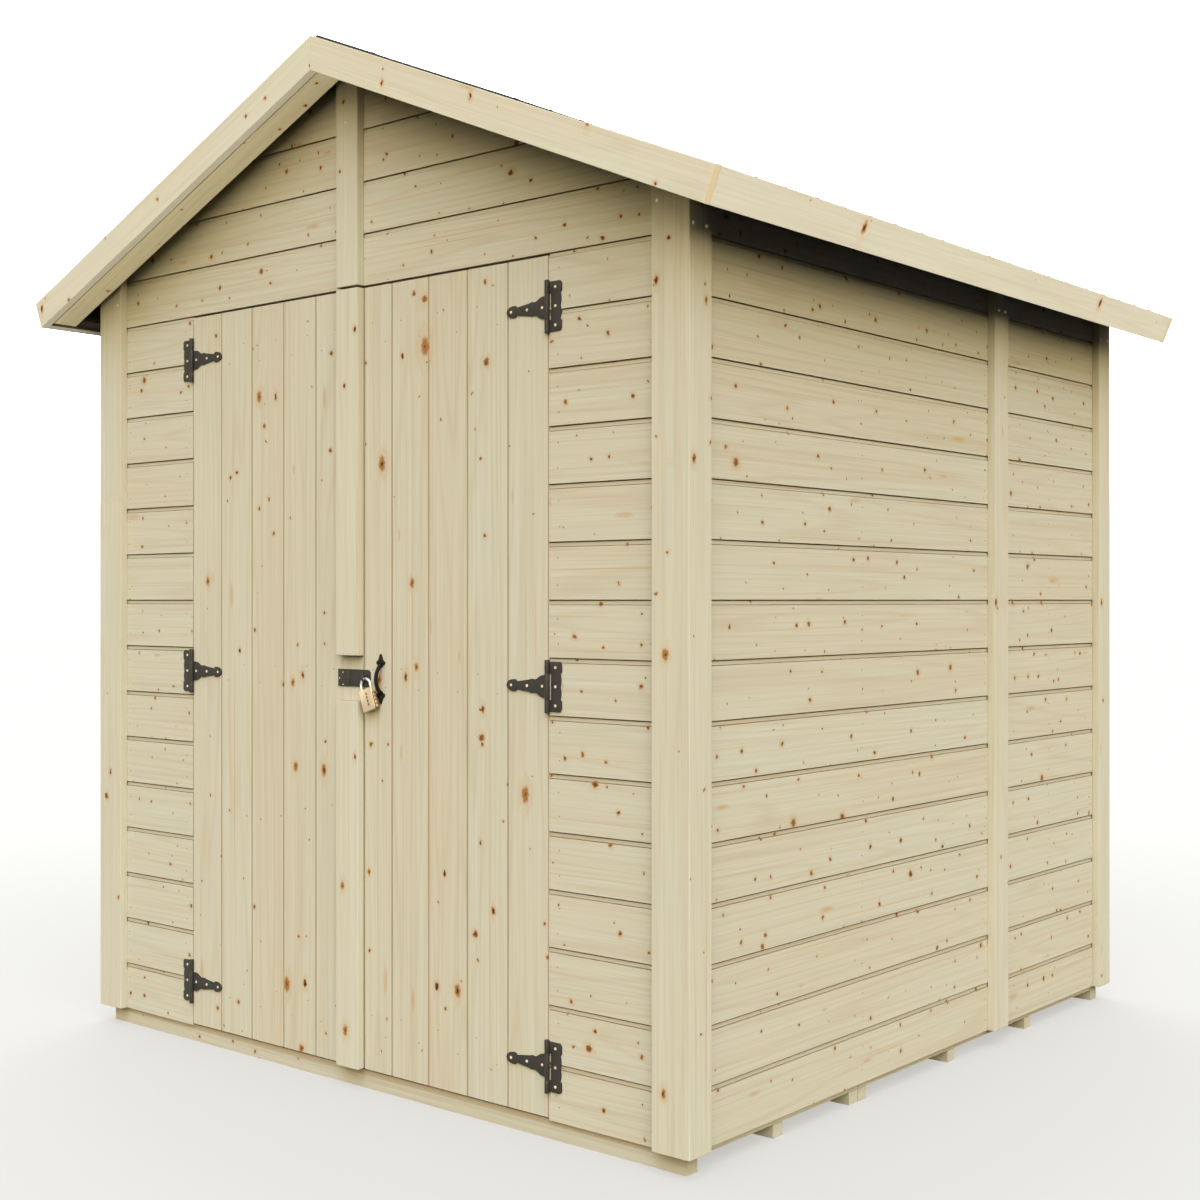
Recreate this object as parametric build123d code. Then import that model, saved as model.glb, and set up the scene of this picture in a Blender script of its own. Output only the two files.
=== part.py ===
from build123d import *
import math
import os

# Apex garden shed with double doors in its front gable, in millimetres.
# The origin is on the ground under the middle of the shed.
# The doors face -Y, +X is to the right of someone who faces the doors, and +Z is up.

# Plan and height
shed_width = 1800.0
shed_depth = 1800.0
short_panel = 600.0
board_cover = 112.0
board_thick = 12.0
wall_course_count = 15
wall_head = 118.0
panel_gap = 2.0

# Timber stock
trim_width = 68.0
trim_thick = 19.0
frame_width = 44.0
frame_thick = 28.0
timber_gap = 1.0

# Floor
bearer_width = 33.0
bearer_height = 27.0
floor_thick = 12.0
floor_inset = 8.0
front_bearer_count = 3
rear_bearer_count = 4

# Roof
roof_pitch = 23.0
eave_overhang = 150.0
verge_overhang = 120.0
deck_thick = 12.0
felt_thick = 3.5
ridge_cap_width = 150.0
roof_rail_depth = 50.0
verge_rail_width = 70.0
ridge_beam_height = 70.0
purlin_shares = (0.42, 0.80)

# Doors
leaf_board_count = 5
door_gap = 5.0
jamb_gap = 1.5
seam_gap = 2.0
outer_board_extra = 3.5
ledge_height = 70.0
ledge_inset = 30.0
brace_width = 60.0
hasp_gap = 97.0

# T hinges
hinge_spacing = 735.0
barrel_radius = 5.0
pin_radius = 2.6
pin_clearance = 0.08
knuckle_length = 51.0
knuckle_gap = 0.5
knuckle_slot = 3.0
butt_height = 103.0
butt_width = 35.0
strap_length = 110.0
strap_width = 44.0
hinge_plate = 2.5
butt_edge_shares = ((0.88, 0.94), (1.00, 0.85), (1.00, 0.55), (0.89, 0.48), (0.95, 0.27), (0.89, 0.00))
strap_base_shares = ((0.00, 1.00), (0.09, 1.00), (0.15, 0.97), (0.20, 0.87), (0.25, 0.71), (0.29, 0.61))
strap_neck_shares = ((0.33, 0.59), (0.37, 0.64), (0.41, 0.62), (0.45, 0.55), (0.75, 0.35))
strap_tip_shares = ((0.775, 0.52), (0.84, 0.54), (0.92, 0.46), (0.98, 0.26), (1.00, 0.00))

# Hasp and staple
hasp_left = 46.0
hasp_height = 37.0
hasp_plate_thick = 2.5
hasp_knuckle_reach = 10.0
hasp_knuckle_radius = 3.0
hasp_knuckle_share = 0.86
staple_plate_end = 57.0
staple_corner = 9.0
staple_reach = 48.0
staple_wire = 2.0
staple_radius = 6.5
wire_flat_count = 12

# Padlock, which hangs askew on the staple
padlock_width = 40.0
padlock_height = 47.0
padlock_thick = 14.0
padlock_round = 2.5
padlock_chamfer = 1.2
padlock_tilt = 19.0
shackle_wire = 3.0
shackle_radius = 14.5
shackle_leg = 8.0
staple_angle = 100.0
hang_gap = 0.1
dial_count = 4
dial_radius = 6.2
dial_height = 6.0
dial_pitch = 8.2
dial_proud = 1.4
dial_drop = 29.0

# Pull handle
handle_reach = 89.0
handle_height = 106.0
handle_wire = 4.2
handle_standoff = 20.0
arrow_height = 27.0
arrow_width = 25.0
arrow_thick = 3.0
arrow_tip_shares = ((0.10, 1.00), (0.28, 0.82), (0.42, 0.62), (0.62, 0.50), (0.92, 0.40))
arrow_lobe_shares = ((1.00, 0.32), (0.98, 0.23), (0.82, 0.16), (0.50, 0.13), (0.42, 0.00))

# Levels and lines that the pieces share
half_width = shed_width / 2
half_depth = shed_depth / 2
wall_bottom = bearer_height + floor_thick
header_level = wall_bottom + wall_course_count * board_cover
inner_x = half_width - board_thick
inner_y = half_depth - board_thick
frame_x = inner_x - frame_thick
frame_y = inner_y - frame_thick
panel_joint = half_depth - short_panel
floor_joint = short_panel - half_depth
leaf_reach = leaf_board_count * board_cover + outer_board_extra
opening_half = leaf_reach + jamb_gap
door_bottom = wall_bottom + door_gap
door_top = header_level - door_gap
door_middle = (door_bottom + door_top) / 2
seam_left = trim_width / 2
seam_right = seam_left + seam_gap
hinge_levels = (door_middle - hinge_spacing, door_middle, door_middle + hinge_spacing)
hinge_x = opening_half - jamb_gap / 2
hinge_y = half_depth + barrel_radius

# Roof lines
pitch_sin = math.sin(math.radians(roof_pitch))
pitch_cos = math.cos(math.radians(roof_pitch))
pitch_tan = math.tan(math.radians(roof_pitch))
ridge_height = header_level + wall_head + half_width * pitch_tan + deck_thick / pitch_cos
eave_run = (half_width + eave_overhang) / pitch_cos
deck_run = eave_run - trim_thick
verge_face = half_depth + verge_overhang
verge_inner = verge_face - trim_thick
verge_rail_inner = verge_inner - verge_rail_width
rail_bottom = deck_thick + roof_rail_depth
frame_bottom = deck_thick + frame_width


def block(x_low, x_high, y_low, y_high, z_low, z_high):
    corner = Pos(x_low, y_low, z_low)
    return corner * Box(x_high - x_low, y_high - y_low, z_high - z_low, align=(Align.MIN, Align.MIN, Align.MIN))


def prism(outline, y_low, y_high):
    points = [(x, y_low, z) for x, z in outline]
    return extrude(make_face(Polyline(*points, close=True)), y_high - y_low, dir=(0, 1, 0))


def flip_x(solids):
    return [mirror(solid, about=Plane.YZ) for solid in solids]


def flip_y(solids):
    return [mirror(solid, about=Plane.XZ) for solid in solids]


def deck_under(x):
    return ridge_height - deck_thick / pitch_cos - abs(x) * pitch_tan


def on_slope(run, depth):
    # run is down the right slope from the ridge, depth is square to it, below the tops of the boards
    return run * pitch_cos - depth * pitch_sin, ridge_height - run * pitch_sin - depth * pitch_cos


def slope_piece(depth_top, depth_bottom, run, y_low, y_high, ridge_gap=0):
    # a board that runs up the right slope to a plumb cut at the ridge
    def plumb(depth):
        return ridge_gap, ridge_height - depth / pitch_cos - ridge_gap * pitch_tan

    outline = [plumb(depth_bottom), on_slope(run, depth_bottom), on_slope(run, depth_top), plumb(depth_top)]
    return prism(outline, y_low, y_high)


def eave_piece(run_low, run_high, depth_top, depth_bottom, y_low, y_high):
    # a timber that runs along the roof, square to the right slope
    corners = ((run_low, depth_top), (run_high, depth_top), (run_high, depth_bottom), (run_low, depth_bottom))
    return prism([on_slope(run, depth) for run, depth in corners], y_low, y_high)


def wire(radius):
    # flats in place of a round section keep the facets of bent wires few
    return RegularPolygon(radius, wire_flat_count)


# Floor: a short panel at the front and a long one behind it, each on its own bearers
def bearer_row(y_low, y_high, count):
    step = (y_high - y_low - bearer_width) / (count - 1)
    edge = half_width - floor_inset
    rows = [y_low + step * i for i in range(count)]
    return [block(-edge, edge, y, y + bearer_width, 0, bearer_height) for y in rows]


def floor_bearers():
    edge = half_depth - floor_inset
    front = bearer_row(-edge, floor_joint - panel_gap / 2, front_bearer_count)
    return front + bearer_row(floor_joint + panel_gap / 2, edge, rear_bearer_count)


def floor_decks():
    edge_x = half_width - floor_inset
    edge_y = half_depth - floor_inset
    spans = ((-edge_y, floor_joint - panel_gap / 2), (floor_joint + panel_gap / 2, edge_y))
    return [block(-edge_x, edge_x, low, high, bearer_height, wall_bottom) for low, high in spans]


# Boarded walls: the front is split beside and over its doorway
def front_wall_right():
    return [block(opening_half, half_width, -half_depth, -inner_y, wall_bottom, header_level)]


def back_wall():
    return [block(-half_width, half_width, inner_y, half_depth, wall_bottom, header_level)]


def front_gable():
    right = [(half_width, header_level), (half_width, deck_under(half_width)), (0, deck_under(0))]
    left = [(-half_width, deck_under(half_width)), (-half_width, header_level)]
    return [prism(right + left, -half_depth, -inner_y)]


def side_wall(y_low, y_high):
    foot = [(inner_x, wall_bottom), (half_width, wall_bottom)]
    head = [(half_width, deck_under(half_width)), (inner_x, deck_under(inner_x))]
    return [prism(foot + head, y_low, y_high)]


def right_wall_front():
    return side_wall(-inner_y, panel_joint - panel_gap / 2)


def right_wall_rear():
    return side_wall(panel_joint + panel_gap / 2, inner_y)


# Trims over the corners and the panel joints
def corner_trims():
    inside = half_width - trim_width
    foot = [(inside, wall_bottom), (half_width, wall_bottom)]
    head = [(half_width, deck_under(half_width)), (inside, deck_under(inside))]
    right = [prism(foot + head, -half_depth - trim_thick, -half_depth)]
    front = right + flip_x(right)
    return front + flip_y(front)


def right_side_trims():
    face = half_width + trim_thick
    foot = [(half_width, wall_bottom), (face, wall_bottom)]
    head = [(face, deck_under(face)), (half_width, deck_under(half_width))]
    corner = half_depth + trim_thick
    lows = (-corner, panel_joint - trim_width / 2, corner - trim_width)
    return [prism(foot + head, low, low + trim_width) for low in lows]


def center_trims():
    half = trim_width / 2
    head = [(half, deck_under(half)), (0, deck_under(0)), (-half, deck_under(half))]
    front = prism([(-half, header_level), (half, header_level)] + head, -half_depth - trim_thick, -half_depth)
    back = prism([(-half, wall_bottom), (half, wall_bottom)] + head, half_depth, half_depth + trim_thick)
    return [front, back]


# Wall frames: studs, with rails let in between them
def stud_lines(low, high, joints):
    # low and high edges of the studs along one wall, a pair at each panel joint and one in the middle of each panel
    edges = [low] + [joint for joint in joints] + [high]
    lines = []
    for i in range(len(edges) - 1):
        start = edges[i] + (panel_gap / 2 if i > 0 else 0)
        end = edges[i + 1] - (panel_gap / 2 if i < len(edges) - 2 else 0)
        middle = (start + end) / 2
        lines.append((start, start + frame_width))
        lines.append((middle - frame_width / 2, middle + frame_width / 2))
        lines.append((end - frame_width, end))
    return lines


def bays(lines):
    spaces = [(lines[i][1], lines[i + 1][0]) for i in range(len(lines) - 1)]
    return [(low, high) for low, high in spaces if high - low > frame_width]


side_stud_lines = stud_lines(-inner_y, inner_y, (panel_joint,))
back_stud_lines = stud_lines(-frame_x, frame_x, (0,))
side_plate_level = deck_under(half_width) - frame_width
front_post_lines = ((opening_half, opening_half + frame_width), (frame_x - frame_width, frame_x))


def side_wall_studs():
    right = [block(frame_x, inner_x, low, high, wall_bottom, side_plate_level) for low, high in side_stud_lines]
    return right + flip_x(right)


def side_wall_rails():
    foot_top = wall_bottom + frame_width
    middle = (wall_bottom + side_plate_level) / 2
    right = [block(frame_x, inner_x, -inner_y, inner_y, side_plate_level, deck_under(half_width))]
    for low, high in bays(side_stud_lines):
        right.append(block(frame_x, inner_x, low, high, wall_bottom, foot_top))
        right.append(block(frame_x, inner_x, low, high, middle - frame_width / 2, middle + frame_width / 2))
    return right + flip_x(right)


def end_wall_studs():
    right = [block(low, high, -inner_y, -frame_y, wall_bottom, header_level) for low, high in front_post_lines]
    back = [block(low, high, frame_y, inner_y, wall_bottom, header_level) for low, high in back_stud_lines]
    return right + flip_x(right) + back


def end_wall_rails():
    foot_top = wall_bottom + frame_width
    header_top = header_level + frame_width
    middle = (wall_bottom + header_level) / 2
    rails = [block(-frame_x, frame_x, -inner_y, -frame_y, header_level, header_top)]
    rails.append(block(-frame_x, frame_x, frame_y, inner_y, header_level, header_top))
    right = [block(low, high, -inner_y, -frame_y, wall_bottom, foot_top) for low, high in bays(front_post_lines)]
    rails += right + flip_x(right)
    for low, high in bays(back_stud_lines):
        rails.append(block(low, high, frame_y, inner_y, wall_bottom, foot_top))
        rails.append(block(low, high, frame_y, inner_y, middle - frame_width / 2, middle + frame_width / 2))
    return rails


# Roof frame
def gable_rails():
    def plumb(x, depth):
        return x, ridge_height - depth / pitch_cos - x * pitch_tan

    ends = ((timber_gap, frame_bottom), (frame_x, frame_bottom), (frame_x, deck_thick), (timber_gap, deck_thick))
    right = [prism([plumb(x, depth) for x, depth in ends], -inner_y, -frame_y)]
    front = right + flip_x(right)
    return front + flip_y(front)


def ridge_beam():
    top = deck_under(frame_thick / 2)
    return [block(-frame_thick / 2, frame_thick / 2, -frame_y, frame_y, top - ridge_beam_height, top)]


def roof_purlins():
    lows = [frame_x / pitch_cos * share for share in purlin_shares]
    right = [eave_piece(low, low + frame_thick, deck_thick, frame_bottom, -frame_y, frame_y) for low in lows]
    return right + flip_x(right)


def verge_rails():
    right = [slope_piece(deck_thick, rail_bottom, deck_run, -verge_inner, -verge_rail_inner, timber_gap)]
    front = right + flip_x(right)
    return front + flip_y(front)


def eave_rails():
    inner = deck_run - frame_thick
    right = [eave_piece(inner, deck_run, deck_thick, rail_bottom, -verge_rail_inner, verge_rail_inner)]
    return right + flip_x(right)


# Roof covering, with the boards that finish its edges
def roof_deck_right():
    return [slope_piece(0, deck_thick, deck_run, -verge_inner, verge_inner)]


def roof_felt():
    sheet = slope_piece(-felt_thick, 0, deck_run, -verge_inner, verge_inner)
    cap = slope_piece(-felt_thick - felt_thick, -felt_thick, ridge_cap_width, -verge_inner, verge_inner)
    right = sheet + cap
    return [right + mirror(right, about=Plane.YZ)]


def right_bargeboards():
    front = [slope_piece(0, trim_width, eave_run, -verge_face, -verge_inner)]
    return front + flip_y(front)


def eave_fascias():
    right = [eave_piece(deck_run, eave_run, 0, trim_width, -verge_inner, verge_inner)]
    return right + flip_x(right)


# Door leaves: upright boards on ledges and braces, the left one carrying the cover strip
front_plane = Plane.XZ.offset(half_depth)


def leaf_board(x_low, x_high):
    return [block(x_low, x_high, -half_depth, -inner_y, door_bottom, door_top)]


def leaf_ledges(x_low, x_high):
    half = ledge_height / 2
    ends = (x_low + ledge_inset, x_high - ledge_inset)
    return [block(ends[0], ends[1], -inner_y, -frame_y, level - half, level + half) for level in hinge_levels]


def leaf_braces(hinge_side, free_side):
    # each brace rises from the hinge side to the free side, between two ledges
    step = math.copysign(brace_width, free_side - hinge_side)
    foot = hinge_side + math.copysign(ledge_inset, step)
    head = free_side - math.copysign(ledge_inset, step)
    braces = []
    for i in range(len(hinge_levels) - 1):
        low = hinge_levels[i] + ledge_height / 2
        high = hinge_levels[i + 1] - ledge_height / 2
        outline = [(foot, low), (foot + step, low), (head, high), (head - step, high)]
        braces.append(prism(outline, -inner_y, -frame_y))
    return braces


def door_cover_strip():
    half = trim_width / 2
    spans = ((door_bottom, door_middle - hasp_gap / 2), (door_middle + hasp_gap / 2, door_top))
    return [block(-half, half, -half_depth - trim_thick, -half_depth, low, high) for low, high in spans]


# T hinges: a scalloped butt with its pin on the wall, a tapered strap on the leaf
def butt_face():
    half = butt_height / 2
    upper = [(x * butt_width, y * half) for x, y in butt_edge_shares]
    lower = [(x, -y) for x, y in upper]
    edges = Polyline((0, upper[0][1]), upper[0], upper[1], upper[2], upper[3])
    edges += ThreePointArc(upper[3], upper[4], upper[5])
    edges += mirror(edges, about=Plane.XZ) + Line((0, upper[0][1]), (0, lower[0][1]))
    slot = barrel_radius + knuckle_slot
    return make_face(edges) - Pos(slot / 2, 0) * Rectangle(slot, knuckle_length + 2 * knuckle_gap)


def strap_face():
    half = strap_width / 2
    shares = strap_base_shares + strap_neck_shares + strap_tip_shares
    upper = [(-x * strap_length, y * half) for x, y in shares]
    lower = [(x, -y) for x, y in reversed(upper[:-1])]
    return make_face(Polyline(*upper, *lower, close=True))


def hinge_butt(level):
    plate = extrude(front_plane * Pos(hinge_x, level) * butt_face(), hinge_plate)
    axis = Pos(hinge_x, -hinge_y, level)
    barrel = axis * Cylinder(barrel_radius, butt_height)
    room = axis * Cylinder(barrel_radius + knuckle_gap, knuckle_length + 2 * knuckle_gap)
    pin = axis * Cylinder(pin_radius, butt_height)
    return plate + barrel - room + pin


def hinge_strap(level):
    plate = extrude(front_plane * Pos(hinge_x, level) * strap_face(), hinge_plate)
    axis = Pos(hinge_x, -hinge_y, level)
    barrel = axis * Cylinder(barrel_radius, knuckle_length)
    return plate + barrel - axis * Cylinder(pin_radius + pin_clearance, knuckle_length)


def hinge_butts():
    right = [hinge_butt(level) for level in hinge_levels]
    return right + flip_x(right)


def right_hinge_straps():
    return [hinge_strap(level) for level in hinge_levels]


# Hasp on the left leaf, staple and padlock on the right leaf
def hasp_plate():
    length = hasp_left + seam_left
    plate = Pos((seam_left - hasp_left) / 2, door_middle) * Rectangle(length, hasp_height)
    solid = extrude(front_plane * plate, hasp_plate_thick)
    knuckle = Cylinder(hasp_knuckle_radius, hasp_height * hasp_knuckle_share)
    raised = Pos(-hasp_knuckle_reach, -half_depth - hasp_knuckle_radius, door_middle) * knuckle
    return [solid + raised]


tilt = math.radians(padlock_tilt)
lock_right = (math.cos(tilt), math.sin(tilt))
lock_up = (-math.sin(tilt), math.cos(tilt))
staple_turn = math.radians(staple_angle)
hang_radius = shackle_radius - shackle_wire - staple_wire - hang_gap
hang_right = hang_radius * math.cos(staple_turn)
hang_up = hang_radius * math.sin(staple_turn)
lock_y = -half_depth - hasp_plate_thick - staple_radius - staple_wire
bow_x = staple_reach - hang_right * lock_right[0] - hang_up * lock_up[0]
bow_z = door_middle - staple_radius - hang_right * lock_right[1] - hang_up * lock_up[1]
lock_place = Pos(bow_x, lock_y, bow_z) * Rot(0, -padlock_tilt, 0)


def staple_plate():
    width = staple_plate_end - seam_right
    outline = Pos(seam_right + width / 2, door_middle) * Rectangle(width, hasp_height)
    plate = extrude(front_plane * outline, hasp_plate_thick)
    plate = fillet(plate.edges().filter_by(Axis.Y).group_by(Axis.X)[-1], staple_corner)
    base = -half_depth - hasp_plate_thick / 2
    low = door_middle - staple_radius
    high = door_middle + staple_radius
    legs = Line((staple_reach, base, low), (staple_reach, lock_y, low))
    tip = (staple_reach, lock_y - staple_radius, door_middle)
    legs += ThreePointArc((staple_reach, lock_y, low), tip, (staple_reach, lock_y, high))
    legs += Line((staple_reach, lock_y, high), (staple_reach, base, high))
    section = Plane(origin=(staple_reach, base, low), z_dir=(0, -1, 0)) * wire(staple_wire)
    return [plate + sweep(section, path=legs)]


def padlock_body():
    top = -shackle_leg
    block_shape = Box(padlock_width, padlock_thick, padlock_height)
    block_shape = fillet(block_shape.edges().filter_by(Axis.Z), padlock_round)
    rims = block_shape.edges().group_by(Axis.Z)
    block_shape = chamfer(rims[0] + rims[-1], padlock_chamfer)
    body = Pos(0, 0, top - padlock_height / 2) * block_shape
    dial = Cylinder(dial_radius, dial_height)
    reach = padlock_width / 2 + dial_proud - dial_radius
    first = top - dial_drop + dial_pitch * (dial_count - 1) / 2
    for i in range(dial_count):
        body += Pos(reach, 0, first - dial_pitch * i) * dial
    return [lock_place * body]


def padlock_shackle():
    foot = -shackle_leg
    path = Line((-shackle_radius, 0, foot), (-shackle_radius, 0, 0))
    path += ThreePointArc((-shackle_radius, 0, 0), (0, 0, shackle_radius), (shackle_radius, 0, 0))
    path += Line((shackle_radius, 0, 0), (shackle_radius, 0, foot))
    section = Plane(origin=(-shackle_radius, 0, foot), z_dir=(0, 0, 1)) * wire(shackle_wire)
    return [lock_place * sweep(section, path=path)]


# Pull handle with an arrowhead at each end of its bow
def arrowhead():
    shares = arrow_tip_shares + arrow_lobe_shares
    right = [(x * arrow_width / 2, y * arrow_height) for x, y in shares]
    left = [(-x, y) for x, y in reversed(right)]
    return make_face(Polyline(*right, *left, close=True))


def door_handle():
    base = handle_height / 2 - arrow_height
    face = arrowhead()
    upper = extrude(front_plane * Pos(handle_reach, door_middle + base) * face, arrow_thick)
    lower = extrude(front_plane * Pos(handle_reach, door_middle - base) * mirror(face, about=Plane.XZ), arrow_thick)
    root = base + handle_wire
    seat = -half_depth - arrow_thick / 2
    tip = (handle_reach, -half_depth - handle_standoff + handle_wire, door_middle)
    low = (handle_reach, seat, door_middle - root)
    bow = ThreePointArc(low, tip, (handle_reach, seat, door_middle + root))
    section = Plane(origin=low, z_dir=bow % 0) * wire(handle_wire)
    bar = split(sweep(section, path=bow), bisect_by=front_plane, keep=Keep.TOP)
    return [upper + lower + bar]


nodes = {
    "floor_bearers": floor_bearers(),
    "floor_decks": floor_decks(),
    "front_wall_left": flip_x(front_wall_right()),
    "front_wall_right": front_wall_right(),
    "front_gable": front_gable(),
    "back_wall": back_wall(),
    "back_gable": flip_y(front_gable()),
    "left_wall_front": flip_x(right_wall_front()),
    "left_wall_rear": flip_x(right_wall_rear()),
    "right_wall_front": right_wall_front(),
    "right_wall_rear": right_wall_rear(),
    "corner_trims": corner_trims(),
    "left_side_trims": flip_x(right_side_trims()),
    "right_side_trims": right_side_trims(),
    "center_trims": center_trims(),
    "side_wall_studs": side_wall_studs(),
    "side_wall_rails": side_wall_rails(),
    "end_wall_studs": end_wall_studs(),
    "end_wall_rails": end_wall_rails(),
    "gable_rails": gable_rails(),
    "ridge_beam": ridge_beam(),
    "roof_purlins": roof_purlins(),
    "verge_rails": verge_rails(),
    "eave_rails": eave_rails(),
    "roof_deck_left": flip_x(roof_deck_right()),
    "roof_deck_right": roof_deck_right(),
    "roof_felt": roof_felt(),
    "left_bargeboards": flip_x(right_bargeboards()),
    "right_bargeboards": right_bargeboards(),
    "eave_fascias": eave_fascias(),
    "hinge_butts": hinge_butts(),
    "left_door_boards": leaf_board(-leaf_reach, seam_left),
    "left_door_ledges": leaf_ledges(-leaf_reach, seam_left),
    "left_door_braces": leaf_braces(-leaf_reach, seam_left),
    "door_cover_strip": door_cover_strip(),
    "left_hinge_straps": flip_x(right_hinge_straps()),
    "hasp_plate": hasp_plate(),
    "right_door_boards": leaf_board(seam_right, leaf_reach),
    "right_door_ledges": leaf_ledges(seam_right, leaf_reach),
    "right_door_braces": leaf_braces(leaf_reach, seam_right),
    "right_hinge_straps": right_hinge_straps(),
    "door_handle": door_handle(),
    "staple_plate": staple_plate(),
    "padlock_body": padlock_body(),
    "padlock_shackle": padlock_shackle(),
}

os.makedirs("parts", exist_ok=True)
for name, solids in nodes.items():
    shape = solids[0] if len(solids) == 1 else Compound(children=solids)
    export_step(shape, f"parts/{name}.step")
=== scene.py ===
import bpy
import math
import random
from mathutils import Matrix, Vector


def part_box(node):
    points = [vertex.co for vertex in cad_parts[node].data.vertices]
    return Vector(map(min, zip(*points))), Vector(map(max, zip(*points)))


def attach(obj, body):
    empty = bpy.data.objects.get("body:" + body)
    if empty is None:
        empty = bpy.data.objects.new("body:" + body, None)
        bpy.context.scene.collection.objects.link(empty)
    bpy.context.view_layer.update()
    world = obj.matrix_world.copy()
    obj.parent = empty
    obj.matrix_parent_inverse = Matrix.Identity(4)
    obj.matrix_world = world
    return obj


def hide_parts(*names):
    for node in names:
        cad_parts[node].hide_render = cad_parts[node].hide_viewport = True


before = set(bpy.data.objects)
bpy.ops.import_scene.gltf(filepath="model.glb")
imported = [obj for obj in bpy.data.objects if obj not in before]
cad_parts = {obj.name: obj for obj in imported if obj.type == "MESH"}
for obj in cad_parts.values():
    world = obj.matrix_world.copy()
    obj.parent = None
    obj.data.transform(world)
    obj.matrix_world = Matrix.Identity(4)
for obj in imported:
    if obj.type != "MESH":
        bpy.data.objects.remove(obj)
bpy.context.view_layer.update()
rng = random.Random(23)
print("frame:", len(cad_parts), "nodes")


# working habits: selecting, adding, cutting, finishing

def deselect():
    if bpy.context.object and bpy.context.object.mode != "OBJECT":
        bpy.ops.object.mode_set(mode="OBJECT")
    bpy.ops.object.select_all(action="DESELECT")


def makeActive(piece):
    deselect()
    piece.select_set(True)
    bpy.context.view_layer.objects.active = piece


def settle(piece):
    makeActive(piece)
    bpy.ops.object.transform_apply(location=True, rotation=True, scale=True)
    return piece


def addBlock(name, low, high):
    deselect()
    centre = [(a + b) / 2 for a, b in zip(low, high)]
    bpy.ops.mesh.primitive_cube_add(size=1, location=centre)
    block = bpy.context.object
    block.name = name
    block.scale = [b - a for a, b in zip(low, high)]
    return settle(block)


def addDisc(vertices, radius, depth, place, turn=0):
    # a round head along z, or along y when turned by 90
    deselect()
    bpy.ops.mesh.primitive_cylinder_add(vertices=vertices, radius=radius, depth=depth, location=place,
                                        rotation=(math.radians(turn), 0, 0))
    return settle(bpy.context.object)


def editAll(piece):
    makeActive(piece)
    bpy.ops.object.mode_set(mode="EDIT")
    bpy.ops.mesh.select_all(action="SELECT")


def editSome(piece, kind, test):
    # edit mode with only the vertices, edges or faces picked that pass the test
    editAll(piece)
    bpy.ops.mesh.select_mode(type=kind)
    bpy.ops.mesh.select_all(action="DESELECT")
    bpy.ops.object.mode_set(mode="OBJECT")
    mesh = piece.data
    if kind == "VERT":
        for v in mesh.vertices:
            v.select = test(v.co)
    if kind == "EDGE":
        for e in mesh.edges:
            e.select = test(mesh.vertices[e.vertices[0]].co, mesh.vertices[e.vertices[1]].co)
    if kind == "FACE":
        for f in mesh.polygons:
            f.select = test(f.center, f.normal)
    bpy.ops.object.mode_set(mode="EDIT")


def objectMode():
    bpy.ops.object.mode_set(mode="OBJECT")


def scoreLine(piece, point, normal):
    editAll(piece)
    bpy.ops.mesh.bisect(plane_co=point, plane_no=normal)
    objectMode()


def sawOff(piece, point, normal):
    # saws off what lies past the plane and closes the cut
    editAll(piece)
    bpy.ops.mesh.bisect(plane_co=point, plane_no=normal, use_fill=True, clear_outer=True)
    objectMode()


def easeEdges(piece, width, segments=2, angle=35):
    makeActive(piece)
    bevel = piece.modifiers.new("eased", "BEVEL")
    bevel.width = width
    bevel.segments = segments
    bevel.limit_method = "ANGLE"
    bevel.angle_limit = math.radians(angle)
    bpy.ops.object.modifier_apply(modifier="eased")


def copyPiece(piece, matrix):
    twin = piece.copy()
    twin.data = piece.data.copy()
    bpy.context.scene.collection.objects.link(twin)
    twin.data.transform(matrix)
    return twin


def mergedCopy(node):
    # a loose copy of a CAD node with its triangles joined up, left in edit mode
    twin = copyPiece(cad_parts[node], Matrix.Identity(4))
    twin.parent = None
    for key in list(twin.keys()):
        del twin[key]
    editAll(twin)
    bpy.ops.mesh.remove_doubles(threshold=0.00001)
    return twin


def joinPieces(name, pieces):
    deselect()
    for piece in pieces:
        piece.select_set(True)
    bpy.context.view_layer.objects.active = pieces[0]
    bpy.ops.object.join()
    joined = bpy.context.object
    joined.name = name
    return joined


def discard(piece):
    bpy.data.objects.remove(piece)


def mount(piece, material, slot, body, *nodes):
    piece.data.materials.clear()
    piece.data.materials.append(material)
    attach(piece, body)
    if nodes:
        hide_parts(*nodes)
    return piece


def paintGrooveShade(piece, depthOf):
    # painted shade for each face in a groove, 0 to 1
    layer = piece.data.attributes.new("paintedGrooveShade", "FLOAT", "FACE")
    for f in piece.data.polygons:
        layer.data[f.index].value = depthOf(f.center, f.normal)


grain = {"tree": 60, "endTurn": 0.7, "broadTurn": 0.6}


def setGrain(piece, along, across, tone=None):
    # woodCoord runs along the grain in x, and each board comes from another place in the tree
    along = Vector(along).normalized()
    across = Vector(across).normalized()
    through = along.cross(across)
    shift = Vector([rng.uniform(0, grain["tree"]) for axis in range(3)])
    ownTone = rng.random()
    mesh = piece.data
    layers = {"woodCoord": ("FLOAT_VECTOR", "POINT"), "boardTone": ("FLOAT", "POINT"),
              "endCut": ("FLOAT", "FACE"), "broadFace": ("FLOAT", "FACE")}
    for name, (kind, domain) in layers.items():
        mesh.attributes.new(name, kind, domain)
    coords, tones, sawn, broad = [mesh.attributes[name].data for name in layers]
    for v in mesh.vertices:
        coords[v.index].vector = Vector((v.co.dot(along), v.co.dot(across), v.co.dot(through))) + shift
        tones[v.index].value = ownTone if tone is None else tone
    for f in mesh.polygons:
        sawn[f.index].value = float(abs(f.normal.dot(along)) > grain["endTurn"])
        broad[f.index].value = float(abs(f.normal.dot(through)) > grain["broadTurn"])
    return piece


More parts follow.
